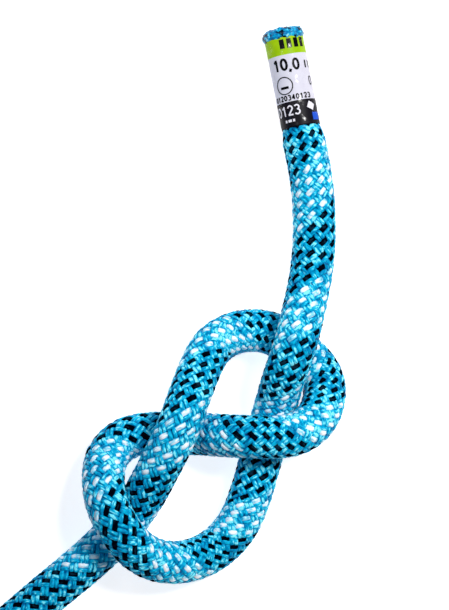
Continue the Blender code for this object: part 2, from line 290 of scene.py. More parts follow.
# Melted tip: its outline as (distance from the tip, radius), and its lumps as (noise cells to a
# millimetre, share of the height)
TIP_OUTLINE = [(0.0030, 0.00425), (0.0024, 0.00450), (0.0018, 0.00475), (0.0011, 0.00478)]
TIP_OUTLINE += [(0.0005, 0.00455), (0.0001, 0.00410), (-0.0001, 0.0034), (-0.0001, 0.0024)]
TIP_OUTLINE += [(0.0, 0.0014), (0.0, 0.0005), (0.0, 0.00002)]
TIP_RINGS = 42
TIP_SIDES = 120
LUMPS = [(0.9, 0.6), (2.1, 0.35)]
LUMP_HEIGHT = 0.00045
LUMP_FULL_RADIUS = 0.003
PIT_DEPTH = 0.0007
PIT_REACH = 0.0012

# Ties: the rounding of a tie's corners, and the overlap with its stitching. The seam is one thread,
# so it goes twice along the top of the box.
TIE_CORNERS = [0.0015, 0.0015, 0.005, 0.005, 0.005]
LAP_HEIGHTS = (0.036, 0.084)
LAP_RINGS = 14
LAP_END_DIP = 0.00096
STITCH_HEIGHTS = (0.041, 0.079)
STITCH_HALF_WIDTH = 0.0072
STITCH_LENGTH = 0.0032
STITCH_MARKS = (0.08, 0.2, 0.5, 0.8, 0.92)
STITCH_LIFTS = (-0.0002, 0.00012, 0.0002, 0.00012, -0.0002)
STITCH_SIDES = 6
THREAD_RADIUS = 0.00022

# Yarn colours, from the darkest tone to the lightest, and where each lighter tone sets in. The darkest
# tone is painted shade and the lightest a painted highlight.
BLUE_YARN = ((0.000, 0.035, 0.16), (0.0, 0.25, 0.51), (0.003, 0.47, 0.74), (0.22, 0.84, 0.98))
BLACK_YARN = ((0.0, 0.0003, 0.002), (0.0003, 0.001, 0.004), (0.001, 0.003, 0.008), (0.004, 0.02, 0.04))
WHITE_YARN = ((0.01, 0.34, 0.60), (0.22, 0.64, 0.83), (0.72, 0.86, 0.95), (0.95, 0.96, 1.0))
TONE_STEPS = [(0.44, 0.62), (0.63, 0.75), (0.77, 0.84)]
INKS = {"dark": (0.001, 0.001, 0.002), "pale": (0.66, 0.65, 0.72), "blue": (0.01, 0.07, 0.50)}

# Patterns of the materials: what sets a yarn's tone, with painted highlight streaks, painted light on
# its crowns and painted shade at its sides and where it dives under, and the tube's and the webbing's weave.
# RIB_SPACING is in millimetres.
STREAKS_ACROSS = 6.5
STREAKS_ALONG = 4.2
FLECK_SHARE = 0.75
PATCH_SHARE = 0.50
CROWN_PAINTED_SHADING = 0.15
SIDE_PAINTED_SHADE = -0.16
FILAMENTS = 14
RIB_SPACING = 1.1
WARP_YARNS = 30

# Lamps as (name, place, size, power, colour), all turned towards the knot
LAMPS = [
    ("key", (0.55, 0.35, 0.9), 0.30, 10.3, (1.0, 0.99, 0.98)),
    ("fill", (-0.4, 0.5, 1.0), 0.50, 4.7, (0.97, 0.98, 1.0)),
]
FLOOR_REACH = 3.0
FLOOR_GLOW = 0.80
WORLD_STRENGTH = 0.10


# ---------------------------------------------------------------- the route


def distances(points):
    """Each point's distance along the line from its first point."""
    return np.r_[0, np.cumsum(np.linalg.norm(np.diff(points, axis=0), axis=1))]


def unit(vectors):
    """The vectors, each at length 1."""
    return vectors / np.linalg.norm(vectors, axis=1)[:, None]


def at_distances(points, wanted):
    """Places at the wanted distances along the line."""
    s = distances(points)
    return np.stack([np.interp(wanted, s, points[:, k]) for k in range(3)], axis=1)


def smooth_curve(points, samples=4000):
    """Points along the C2 cubic spline through the route's points."""
    p = np.array(points)
    knots = distances(p)
    h = np.diff(knots)
    n = len(p)
    system = np.eye(n)
    right = np.zeros((n, 3))
    slopes = np.diff(p, axis=0) / h[:, None]
    for i in range(1, n - 1):
        system[i, i - 1 : i + 2] = h[i - 1], 2 * (h[i - 1] + h[i]), h[i]
        right[i] = 6 * (slopes[i] - slopes[i - 1])
    bend = np.linalg.solve(system, right)
    t = np.linspace(0, knots[-1], samples)
    i = np.clip(np.searchsorted(knots, t, side="right") - 1, 0, n - 2)
    before = (t - knots[i])[:, None]
    after = (knots[i + 1] - t)[:, None]
    span = h[i][:, None]
    curve = (bend[i] * after**3 + bend[i + 1] * before**3) / (6 * span)
    curve += (p[i] / span - bend[i] * span / 6) * after
    curve += (p[i + 1] / span - bend[i + 1] * span / 6) * before
    curve[:, 2] = np.maximum(curve[:, 2], LYING)
    return curve


def knot_line():
    """The knot's route on the ground, with the straight lead up to the coil."""
    route = [np.array(point) + KNOT_PLACE for point in KNOT_ROUTE]
    heading = np.array((sin(ENTRY_ANGLE), -cos(ENTRY_ANGLE), 0))
    route += [route[-1] + heading * LEAD * part for part in (1 / 3, 2 / 3, 1)]
    curve = smooth_curve(route)
    length = distances(curve)[-1]
    return at_distances(curve, np.linspace(0, length, round(length / KNOT_STEP) + 1))


def eased(x):
    """0 below 0 and 1 above 1, and a smooth slope between."""
    x = np.clip(x, 0, 1)
    return x * x * (3 - 2 * x)


def coil_line(centre):
    """The wound rope: layers inwards and outwards in turn, with a step each turn and each layer."""
    turn = np.linspace(ENTRY_TURN, ENTRY_TURN + COIL_TURNS, COIL_TURNS * STATIONS_A_TURN + 1)
    column = np.zeros_like(turn)
    layer = np.zeros_like(turn)
    for number in range(LAYERS):
        inward = number % 2 == 0
        start = CYCLE * (number // 2)
        first = start + (FIRST_INWARD if inward else FIRST_OUTWARD)
        for k in range(TURNS - 1):
            step = eased((turn - first - k) / STEP)
            column += step if inward else -step
        if number < LAYERS - 1:
            layer += eased((turn - start - (RISE_INSIDE if inward else RISE_OUTSIDE)) / STEP)
    radius = LAST_TURN - PITCH * column
    angle = ENTRY_ANGLE - 2 * pi * (turn - ENTRY_TURN)
    height = PITCH * (layer + 0.5)
    for tie in TIE_ANGLES:
        away = np.abs((angle - tie + pi) % (2 * pi) - pi) * radius
        under = 1 - eased((away - TIE_WIDTH / 2) / SQUEEZE_LENGTH)
        height += TIE_SQUEEZE * under * np.clip(1 - layer / SQUEEZED_LAYERS, 0, 1)
    flat = np.stack([radius * np.cos(angle), radius * np.sin(angle), height], axis=1)
    return centre + flat


def tail_line(centre):
    """The far tail, clockwise from the coil's last turn and once round on top of it."""
    length = TAIL_ARC + TAIL_STRAIGHT
    distance = np.linspace(0, length, round(length / TAIL_STEP) + 1)
    along = np.minimum(distance, TAIL_ARC)
    radius = LAST_TURN - TAIL_INSET * (along / TAIL_ARC) ** 2
    angle = ENTRY_ANGLE - along / (LAST_TURN - TAIL_INSET / 3)
    low = COIL_HEIGHT - PITCH / 2
    high = COIL_HEIGHT + ROPE_RADIUS + GAP
    height = low + (high - low) * eased(distance / TAIL_CLIMB)
    past = distance - along
    x = radius * np.cos(angle) + np.sin(angle) * past
    y = radius * np.sin(angle) - np.cos(angle) * past
    return centre + np.stack([x, y, height], axis=1)


def carried_frames(points):
    """Two unit vectors square to the line and to each other, carried along it without twist."""
    tangents = unit(np.gradient(points, axis=0))
    first = np.cross(tangents[0], UP)
    sides = [first / np.linalg.norm(first)]
    for tangent in tangents[1:]:
        side = sides[-1] - tangent * (sides[-1] @ tangent)
        sides.append(side / np.linalg.norm(side))
    sides = np.array(sides)
    return sides, np.cross(tangents, sides)


knot = knot_line()
outward = np.array((cos(ENTRY_ANGLE), sin(ENTRY_ANGLE), 0))
coil_centre = knot[-1] * (1, 1, 0) - outward * LAST_TURN
line = np.vstack([knot, coil_line(coil_centre)[1:], tail_line(coil_centre)[1:]])
line_at = distances(line)
total = line_at[-1]
sides, ups = carried_frames(line)


def braid(s):
    """Crossings of the braid from the near tip, and its turn, at distances along the rope.

    The marks are joined by straight lines, and a rounded window takes off their corners.
    """
    marks, gained, turns = np.array(BRAID).T
    even = np.arange(0, YARN_END + 2 * BRAID_SMOOTHING * BRAID_STEP, BRAID_STEP)
    weights = np.hanning(BRAID_SMOOTHING + 2)
    smooth = []
    for values in (gained, turns):
        padded = np.pad(np.interp(even, marks, values), BRAID_SMOOTHING // 2 + 1, mode="edge")
        smooth.append(np.convolve(padded, weights / weights.sum(), mode="valid"))
    return s / FLOAT + np.interp(s, even, smooth[0]), np.interp(s, even, smooth[1])


# ---------------------------------------------------------------- camera


def placed(name, data):
    """An object in the scene."""
    made = bpy.data.objects.new(name, data)
    bpy.context.scene.collection.objects.link(made)
    return made


def make_camera():
    """A camera straight above the knot."""
    data = bpy.data.cameras.new("camera")
    data.sensor_fit = "VERTICAL"
    data.sensor_height = SENSOR
    data.lens = SENSOR * CAMERA_HEIGHT / VIEW_HEIGHT
    camera = placed("camera", data)
    camera.location = (*KNOT_PLACE[:2], CAMERA_HEIGHT)
    bpy.context.scene.camera = camera


# ---------------------------------------------------------------- meshes


def add(name, mesh, *materials):
    """A piece of the part, in the scene and on its one body."""
    for made in materials:
        mesh.materials.append(made)
    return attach(placed(name, mesh), "root")


def grids_mesh(name, grids, closed=True, caps=True, slots=None):
    """One mesh of several grids of quads. Each grid is (rings, their u round, their v along).

    closed joins each ring's end to its start, and caps closes the first and the last ring. slots
    gives each grid's material number.
    """
    places, corners, uvs, ends, numbers = [], [], [], [], []
    vertices = 0
    for number, (rings, u, v) in enumerate(grids):
        n, m = rings.shape[:2]
        i = np.arange(n - 1)[:, None]
        j = np.arange(m if closed else m - 1)[None, :]
        after = (j + 1) % m
        quad = np.stack([i * m + j, i * m + after, (i + 1) * m + after, (i + 1) * m + j], axis=-1)
        corners.append(quad.reshape(-1, 4) + vertices)
        flat = np.stack([u[j], u[j + 1], u[j + 1], u[j]], axis=-1)
        flat = np.broadcast_to(flat, quad.shape)
        tall = np.stack([v[i], v[i], v[i + 1], v[i + 1]], axis=-1)
        tall = np.broadcast_to(tall, quad.shape)
        uvs.append(np.stack([flat, tall], axis=-1).reshape(-1, 2))
        if caps:
            ends.append((vertices + np.arange(m)[::-1], u[0], v[0]))
            ends.append((vertices + (n - 1) * m + np.arange(m), u[0], v[-1]))
        places.append(rings.reshape(-1, 3))
        numbers += [slots[number] if slots else 0] * quad[..., 0].size
        vertices += n * m
    corners = np.vstack(corners)
    loops = np.concatenate([corners.ravel()] + [end[0] for end in ends])
    sizes = np.array([4] * len(corners) + [len(end[0]) for end in ends])
    uvs += [np.tile((u, v), (len(cap), 1)) for cap, u, v in ends]
    starts = np.r_[0, np.cumsum(sizes)[:-1]]
    mesh = bpy.data.meshes.new(name)
    mesh.vertices.add(vertices)
    mesh.vertices.foreach_set("co", np.vstack(places).astype(np.float32).ravel())
    mesh.loops.add(len(loops))
    mesh.loops.foreach_set("vertex_index", loops.astype(np.int32))
    mesh.polygons.add(len(sizes))
    mesh.polygons.foreach_set("loop_start", starts.astype(np.int32))
    mesh.polygons.foreach_set("use_smooth", np.ones(len(sizes), bool))
    if slots:
        mesh.polygons.foreach_set("material_index", np.array(numbers, np.int32))
    layer = mesh.uv_layers.new(name="UVMap")
    mesh.update(calc_edges=True)
    layer.data.foreach_set("uv", np.vstack(uvs).astype(np.float32).ravel())
    return mesh


def tube_rings(centres, across, up, radius, count):
    """Rings of count points about the centres, the first one towards across."""
    turn = np.linspace(0, 2 * pi, count, endpoint=False)
    spread = across[:, None] * np.cos(turn)[None, :, None] + up[:, None] * np.sin(turn)[None, :, None]
    return centres[:, None] + spread * radius[:, None, None]


# ---------------------------------------------------------------- the rope


def make_rope():
    """The whole rope as one tube: an under-layer along the knot, and full size in the coil."""
    first = np.searchsorted(line_at, SHEATH_START)
    last = np.searchsorted(line_at, total - SHEATH_START)
    in_knot = np.arange(first, len(knot), TUBE_EVERY)
    chosen = np.r_[in_knot, np.arange(len(knot), last)]
    s = line_at[chosen]
    marks = [NARROW_END, NARROW_END + NARROW_TAPER, SINK_START, YARN_END]
    marks += [total - NARROW_END - NARROW_TAPER, total - NARROW_END]
    sizes = [NARROW_RADIUS, UNDER_RADIUS, UNDER_RADIUS, ROPE_RADIUS, ROPE_RADIUS, NARROW_RADIUS]
    radius = np.interp(s, marks, sizes)
    rings = tube_rings(line[chosen], sides[chosen], ups[chosen], radius, TUBE_SIDES)
    crossings, turns = braid(s)
    u = np.linspace(0, PAIRS, TUBE_SIDES + 1) - turns[-1]
    mesh = grids_mesh("rope", [(rings, u, crossings)])
    rope = add("rope", mesh, rope_material())
    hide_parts("sheath", "rope_coil", "rope_far_tail")
    return rope, line[chosen]


def squared(values, power):
    """The values raised to a power, with their signs kept."""
    return np.sign(values) * np.abs(values) ** power


def yarn_rings(hand, pair, offset, half_width, chance):
    """One yarn's rings. hand is 1 for a right-handed yarn and -1 for a left-handed one."""
    s = np.linspace(YARN_START, YARN_END, round((YARN_END - YARN_START) / FLOAT * YARN_RINGS))
    crossings, turns = braid(s)
    wave = hand * np.cos(2 * pi * crossings + hand * pi * offset)
    wave = 1.5 * wave - 0.5 * wave**3  # flatter where it is on top or under
    floats = np.arange(YARN_START, YARN_END + FLOAT, FLOAT)
    uneven = np.interp(s, floats, chance.normal(0, 1, len(floats)))

    taper = np.interp(s, [DRAWN_IN_UNTIL, DRAWN_OUT_FROM], [DRAWN_IN, 1.0])
    sink = np.interp(s, [SINK_START, YARN_END], [0.0, SINK_DEPTH])
    radius = (YARN_RADIUS + YARN_WAVE * wave + UNEVEN_RADIUS * uneven) * taper - sink
    turn = (pair + offset + hand * crossings + turns) * 2 * pi / PAIRS
    middle, across, up = (
        np.stack([np.interp(s, line_at, values[:, k]) for k in range(3)], axis=1)
        for values in (line, sides, ups)
    )
    out = across * np.cos(turn)[:, None] + up * np.sin(turn)[:, None]
    centres = middle + out * radius[:, None]
    along = unit(np.gradient(centres, axis=0))
    flat = unit(np.cross(along, out))
    proud = np.cross(flat, along)

    section = np.linspace(0, 2 * pi, YARN_SIDES, endpoint=False)
    sideways = squared(np.cos(section), SQUARE_SIDEWAYS)
    outwards = squared(np.sin(section), SQUARE_OUTWARDS)
    width = half_width * (1 + CROWN_WIDENING * wave + UNEVEN_WIDTH * uneven)
    rings = centres[:, None] + flat[:, None] * (width[:, None] * sideways)[:, :, None]
    rings += proud[:, None] * (YARN_HALF_THICK * outwards)[None, :, None]

    # The material puts painted light on crowns at whole numbers and painted shade where the yarn dives
    # under, and gives no two yarns the same tone
    crowns = crossings + hand * offset / 2 + (0.5 if hand < 0 else 0.0)
    shift = chance.integers(0, SHADE_SHIFTS) * SHADE_SHIFT
    return rings, np.linspace(0, 1, YARN_SIDES + 1), crowns + shift


def make_yarns():
    """The yarns over the knot and the lead. In a right-handed pair one yarn is black or white."""
    chance = np.random.default_rng(11)
    black, white, right_blue, left_blue = [], [], [], []
    for pair in range(PAIRS):
        accent = black if pair < BLACK_PAIRS else white
        accent.append(yarn_rings(1, pair, YARN_APART, ACCENT_HALF_WIDTH, chance))
        right_blue.append(yarn_rings(1, pair, -YARN_APART, YARN_HALF_WIDTH, chance))
        for offset in (-YARN_APART, YARN_APART):
            left_blue.append(yarn_rings(-1, pair, offset, YARN_HALF_WIDTH, chance))
    blue = yarn_material("blue_yarn", BLUE_YARN, 0.03)
    groups = [
        ("black_yarns", black, yarn_material("black_yarn", BLACK_YARN, 0.0)),
        ("white_yarns", white, yarn_material("white_yarn", WHITE_YARN, 0.2)),
    ]
    for name, yarns in (("right_blue_yarns", right_blue), ("left_blue_yarns", left_blue)):
        for part in range(0, len(yarns), YARNS_A_PIECE):
            number = part // YARNS_A_PIECE + 1
            groups.append((f"{name}_{number}", yarns[part : part + YARNS_A_PIECE], blue))
    pieces = [add(name, grids_mesh(name, yarns), made) for name, yarns, made in groups]
    return pieces


# ---------------------------------------------------------------- rope ends


def end_frame(tip_at, inside_at):
    """The tip's place and the axes inward, up and right of the rope end, by distances on the line."""
    tip, inside = at_distances(line, [tip_at, inside_at])
    inward = (inside - tip) / np.linalg.norm(inside - tip)
    up = UP - inward * inward[2]
    up /= np.linalg.norm(up)
    return tip, inward, up, np.cross(up, inward)


def round_end(where, along, turn, radius):
    """The points at distances along the end, turned from the top towards the right."""
    tip, inward, up, right = where
    out = up * np.cos(turn)[..., None] + right * np.sin(turn)[..., None]
    return tip + inward * np.asarray(along)[..., None] + out * np.asarray(radius)[..., None]


def wrinkled(along, turn, height, seed):
    """Small folds and creases for a film, in metres."""
    along, turn = np.broadcast_arrays(along, turn)
    result = np.zeros(along.shape)
    for index in np.ndindex(result.shape):
        a = turn[index]
        at = Vector((cos(a) * WRINKLES_ROUND, sin(a) * WRINKLES_ROUND, along[index] * WRINKLES_ALONG + seed))
        result[index] = noise.noise(at) * height
    return result


def stroke(points, width):
    """A strip of quads along a flat path, as two rows of points."""
    path = np.array(points, float)
    if len(path) == 2:
        path = path[0] + (path[1] - path[0]) * np.linspace(0, 1, STROKE_POINTS)[:, None]
    along = unit(np.gradient(path, axis=0))
    side = np.stack([-along[:, 1], along[:, 0]], axis=1) * width / 2
    return np.stack([path - side, path + side], axis=1)


def arc(x, y, wide, tall, start, end):
    """Points of an arc about (x, y), between two angles in degrees."""
    turn = np.radians(np.linspace(start, end, ARC_POINTS))
    return np.stack([x + wide * np.cos(turn), y + tall * np.sin(turn)], axis=1)


# Strokes of the numerals in a box NUMERAL_WIDTH wide and 1 tall
NUMERALS = {
    "0": [arc(0.3, 0.5, 0.24, 0.44, 0, 360)],
    "1": [[(0.34, 0.0), (0.34, 1.0)], [(0.36, 0.96), (0.12, 0.72)]],
    "2": [arc(0.3, 0.72, 0.23, 0.24, 170, -35), [(0.5, 0.6), (0.06, 0.04)], [(0.04, 0.06), (0.56, 0.06)]],
    "3": [arc(0.28, 0.73, 0.22, 0.22, 150, -90), arc(0.28, 0.28, 0.25, 0.25, 90, -150)],
    "4": [[(0.42, 0.0), (0.42, 1.0)], [(0.44, 0.96), (0.04, 0.3)], [(0.02, 0.3), (0.58, 0.3)]],
}


def numerals(text, place, tall, thick, gap):
    """Strips for a row of numerals."""
    strips = []
    for number, character in enumerate(text):
        left = place[0] + number * tall * (NUMERAL_WIDTH + gap)
        for path in NUMERALS[character]:
            flat = np.array(path) * (tall, -tall) + (left, place[1] + tall)
            strips.append(stroke(flat, thick))
    return strips


def label_print():
    """Strips of each ink on a label, as (across, distance from the tip)."""
    strips = {ink: [] for ink in INKS}
    for ink, start, end, width in BARS:
        strips[ink].append(stroke([start, end], width))
    for ink, text, *layout in NUMERAL_ROWS:
        strips[ink] += numerals(text, *layout)
    ring = arc(*RING_PLACE, RING_RADIUS, RING_RADIUS, 0, 360)
    strips["dark"].append(stroke(ring, RING_STROKE))
    return strips


def film_grid(start, end, rings):
    """Distances from the tip and turns of a film's grid points."""
    turn = np.linspace(0, 2 * pi, LABEL_SIDES, endpoint=False)
    return np.meshgrid(np.linspace(start, end, rings), turn, indexing="ij")


def make_label(which, where):
    """The printed film: its bands are one sheet, and the print is thin strips on it. One pale strip
    on the black band is a painted highlight, not print.
    """
    along, turn = film_grid(LABEL_START, LABEL_END, LABEL_RINGS)
    radius = LABEL_SURFACE + wrinkled(along, turn, LABEL_WRINKLES, WRINKLE_SEED)
    lip = round_end(where, along[:1], turn[:1], radius[:1] - LABEL_HEM)
    hem = round_end(where, along[-1:], turn[-1:], radius[-1:] - LABEL_HEM)
    rings = np.concatenate([lip, round_end(where, along, turn, radius), hem])
    u = np.linspace(0, 1, LABEL_SIDES + 1)
    v = np.r_[LABEL_START, along[:, 0], LABEL_END] * MILLIMETRES
    sheet = grids_mesh("label", [(rings, u, v)], caps=False)
    film = add(f"label_film_{which}", sheet, label_material())
    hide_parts(f"end_label_{which}")

    grids, numbers, inks = [], [], []
    for number, (name, strips) in enumerate(label_print().items()):
        inks.append(ink_material(f"{name}_print", INKS[name]))
        for strip in strips:
            turn = strip[..., 0] / LABEL_SURFACE
            along = strip[..., 1]
            radius = LABEL_SURFACE + INK_LIFT + wrinkled(along, turn, LABEL_WRINKLES, WRINKLE_SEED)
            rings = round_end(where, along, turn, radius)
            grids.append((rings, np.array([0.0, 1.0]), np.linspace(0, 1, len(rings))))
            numbers.append(number)
    mesh = grids_mesh("print", grids, closed=False, caps=False, slots=numbers)
    ink = add(f"label_print_{which}", mesh, *inks)
    return [film, ink]


def make_sleeve(which, where):
    """Clear shrink film over the label, creased near the tip."""
    start, end = LABEL_START - SLEEVE_PAST_TIP, LABEL_END + SLEEVE_PAST_LABEL
    along, turn = film_grid(start, end, SLEEVE_RINGS)
    crowded = 1 + CREASE_GROWTH * np.exp(-((along - CREASE_MIDDLE) / CREASE_SPREAD) ** 2)
    radius = SLEEVE_SURFACE + wrinkled(along, turn, SLEEVE_WRINKLES, WRINKLE_SEED)
    creases = wrinkled(along * CREASES_ALONG, turn * CREASES_ROUND, SLEEVE_CREASES, CREASE_SEED)
    radius += creases * crowded
    rings = round_end(where, along, turn, radius)
    u = np.linspace(0, 1, LABEL_SIDES + 1)
    mesh = grids_mesh("sleeve", [(rings, u, along[:, 0] * MILLIMETRES)], caps=False)
    sleeve = add(f"clear_film_{which}", mesh, sleeve_material())
    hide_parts(f"clear_sleeve_{which}")
    return sleeve


def make_tip(which, where):
    """The melted and fused end: a lumpy cap, wider than the label, with pits in its face."""
    marks = np.linspace(0, len(TIP_OUTLINE) - 1, TIP_RINGS)
    outline = np.array(TIP_OUTLINE)
    along, radius = (np.interp(marks, np.arange(len(outline)), outline[:, k]) for k in (0, 1))
    turn = np.linspace(0, 2 * pi, TIP_SIDES, endpoint=False)
    lumps = np.zeros((TIP_RINGS, TIP_SIDES))
    for i, j in np.ndindex(lumps.shape):
        at = Vector((radius[i] * cos(turn[j]), radius[i] * sin(turn[j]), along[i])) * MILLIMETRES
        lumps[i, j] = sum(noise.noise(at * fineness) * share for fineness, share in LUMPS)
    swell = LUMP_HEIGHT * np.minimum(radius / LUMP_FULL_RADIUS, 1)
    pits = PIT_DEPTH * np.clip((PIT_REACH - along) / PIT_REACH, 0, 1)
    grid_along = along[:, None] - np.abs(lumps) * pits[:, None]
    grid_radius = radius[:, None] + lumps * swell[:, None]
    grid_turn = np.broadcast_to(turn, lumps.shape)
    rings = round_end(where, grid_along, grid_turn, grid_radius)
    mesh = grids_mesh("tip", [(rings, np.linspace(0, 1, TIP_SIDES + 1), marks / 10)])
    tip = add(f"fused_tip_{which}", mesh, melted_material())
    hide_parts(f"melted_tip_{which}")
    return tip


def make_ends():
    """A label, a clear sleeve and a melted tip on each end of the rope."""
    pieces = []
    near = end_frame(0.0, END_SPAN)
    far = end_frame(total, total - END_SPAN)
    for which, where in (("near", near), ("far", far)):
        pieces += make_label(which, where)
        pieces += [make_sleeve(which, where), make_tip(which, where)]
    return pieces


# ---------------------------------------------------------------- ties


def tie_axes(angle):
    """Unit vectors away from the coil's axis and across a tie."""
    return np.array((cos(angle), sin(angle), 0.0)), np.array((-sin(angle), cos(angle), 0.0))


def rounded_outline(corners, radii, points=7):
    """A closed outline whose corners are rounded off, starting their radii from the corner."""
    outline = []
    for i, (corner, radius) in enumerate(zip(corners, radii, strict=True)):
        here = np.array(corner)
        back = np.array(corners[i - 1]) - here
        on = np.array(corners[(i + 1) % len(corners)]) - here
        start = here + back / np.linalg.norm(back) * radius
        end = here + on / np.linalg.norm(on) * radius
        t = np.linspace(0, 1, points)[:, None]
        outline.append((1 - t) ** 2 * start + 2 * t * (1 - t) * here + t**2 * end)
    return np.vstack(outline)


def webbing_section():
    """A flat strap's section, as (across, out) points, with rounded edges."""
    half, thick = TIE_WIDTH / 2, TIE_THICKNESS / 2
    top = [(x, thick) for x in np.linspace(half - thick, -half + thick, 12)]
    left = [(-half + thick - thick * cos(a), thick * sin(a)) for a in (pi / 4, 0, -pi / 4)]
    return np.array(top + left + [(-x, -y) for x, y in top] + [(-x, -y) for x, y in left])


def strap(where, path, closed):
    """Rings of a strap along the path of (distance from the coil's axis, height) points."""
    centre, angle = where
    radial, wide = tie_axes(angle)
    if closed:
        along = unit(np.roll(path, -1, axis=0) - np.roll(path, 1, axis=0))
    else:
        along = unit(np.gradient(path, axis=0))
    out = np.stack([along[:, 1], -along[:, 0]], axis=1)
    section = webbing_section()
    flat = path[:, None] + out[:, None] * section[None, :, 1:2]
    rings = centre + radial * flat[..., :1] + wide * section[None, :, :1]
    rings[..., 2] += flat[..., 1]
    return rings, distances(path)


def make_ties():
    """Three stitched webbing ties round the coil's section and over the far tail."""
    off = GAP + TIE_THICKNESS / 2
    inner = sqrt(COIL_INNER**2 - (TIE_WIDTH / 2) ** 2) - off - GAP
    outer = COIL_OUTER + off
    low = TIE_LIFT + TIE_THICKNESS / 2
    top = COIL_HEIGHT + GAP + 2 * ROPE_RADIUS + off
    inner_top = COIL_HEIGHT + off
    corners = [(inner, low), (outer, low), (outer, top), (TIE_SHOULDER, top), (inner, inner_top)]
    outline = rounded_outline(corners, TIE_CORNERS)
    lap = outer + TIE_THICKNESS
    lap_path = np.stack([np.full(LAP_RINGS, lap), np.linspace(*LAP_HEIGHTS, LAP_RINGS)], axis=1)
    lap_path[[0, -1], 0] -= LAP_END_DIP
    woven = webbing_material()
    thread = thread_material()
    pieces = []
    for number, angle in enumerate(TIE_ANGLES, start=1):
        where = (coil_centre, angle)
        rings, along = strap(where, outline, True)
        rings = np.concatenate([rings, rings[:1]])
        along = np.r_[along, along[-1] + np.linalg.norm(outline[-1] - outline[0])]
        lap_rings, lap_along = strap(where, lap_path, False)
        around = np.linspace(0, 1, rings.shape[1] + 1)
        grids = [(rings, around, along * MILLIMETRES), (lap_rings, around, lap_along * MILLIMETRES)]
        tie = add(f"webbing_tie_{number}", grids_mesh("tie", grids, caps=False), woven)
        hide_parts(f"coil_tie_{number}")
        stitches = add(f"tie_stitching_{number}", stitch_mesh(where, lap), thread)
        pieces += [tie, stitches]
    return pieces


def stitch_mesh(where, radius):
    """Box stitching with a cross on a tie's overlap, each stitch a short round thread."""
    centre, angle = where
    radial, wide = tie_axes(angle)
    low, high = STITCH_HEIGHTS
    left, right = -STITCH_HALF_WIDTH, STITCH_HALF_WIDTH
    seam = [(left, low), (right, low), (right, high), (left, high), (left, low), (right, high)]
    seam += [(left, high), (right, low)]
    surface = radius + TIE_THICKNESS / 2 + np.array(STITCH_LIFTS)
    turn = np.linspace(0, 2 * pi, STITCH_SIDES, endpoint=False)
    u = np.linspace(0, 1, STITCH_SIDES + 1)
    grids = []
    for start, end in zip(seam[:-1], seam[1:]):
        run = np.array(end) - start
        length = np.linalg.norm(run)
        side = (UP * run[0] - wide * run[1]) / length
        ring = radial * np.cos(turn)[:, None] + side * np.sin(turn)[:, None]
        count = round(length / STITCH_LENGTH)
        for k in range(count):
            part = (k + np.array(STITCH_MARKS)) / count
            flat = start + run * part[:, None]
            middle = centre + radial * surface[:, None] + wide * flat[:, :1] + UP * flat[:, 1:]
            grids.append((middle[:, None] + ring * THREAD_RADIUS, u, part))
    return grids_mesh("stitches", grids)


# ---------------------------------------------------------------- materials


class Shade:
    """A material with short ways to add and link its nodes."""

    def __init__(self, name):
        self.material = bpy.data.materials.new(name)
        self.material.use_nodes = True
        self.tree = self.material.node_tree
        self.shader = self.tree.nodes["Principled BSDF"]

    def put(self, kind, *inputs, **settings):
        """A new node. Each input is a value, a socket to link, or None to leave it alone."""
        made = self.tree.nodes.new("ShaderNode" + kind)
        for name, value in settings.items():
            setattr(made, name, value)
        for socket, value in zip(made.inputs, inputs):
            if isinstance(value, bpy.types.NodeSocket):
                self.tree.links.new(value, socket)
            elif value is not None:
                socket.default_value = value
        return made

    def math(self, operation, *inputs):
        """A Math node's output."""
        return self.put("Math", *inputs, operation=operation).outputs[0]

    def blend(self, factor, first, second):
        """The first colour where the factor is 0, and the second where it is 1."""
        made = self.put("Mix", data_type="RGBA")
        for index, value in ((0, factor), (6, first), (7, second)):
            if isinstance(value, bpy.types.NodeSocket):
                self.tree.links.new(value, made.inputs[index])
            else:
                made.inputs[index].default_value = value if index == 0 else (*value, 1.0)
        return made.outputs[2]

    def smooth(self, value, low, high):
        """0 below low and 1 above high, and a smooth slope between."""
        made = self.put("MapRange", value, low, high, 0.0, 1.0, interpolation_type="SMOOTHSTEP")
        return made.outputs[0]

    def uv(self):
        """Around and along the piece, from its UV map."""
        split = self.put("SeparateXYZ", self.put("UVMap", uv_map="UVMap").outputs[0])
        return split.outputs[0], split.outputs[1]

    def speckle(self, scale, detail, place):
        """Noise at the place."""
        made = self.put("TexNoise", place, None, scale, detail)
        return made.outputs[0]

    def object_place(self):
        """The place in the object, in metres."""
        return self.put("TexCoord").outputs["Object"]

    def set(self, **values):
        """Sets or links sockets of the shader, by their names with _ for a space."""
        for name, value in values.items():
            socket = self.shader.inputs[name.replace("_", " ")]
            if isinstance(value, bpy.types.NodeSocket):
                self.tree.links.new(value, socket)
            else:
                socket.default_value = value

    def bump(self, height, distance, strength):
        """A normal for the height."""
        made = self.put("Bump", strength, distance)
        self.tree.links.new(height, made.inputs["Height"])
        return made.outputs[0]

    def either(self, choice, first, second):
        """The first value where the choice is 0, and the second where it is 1."""
        kept = self.math("MULTIPLY", first, self.math("SUBTRACT", 1.0, choice))
        return self.math("ADD", kept, self.math("MULTIPLY", second, choice))


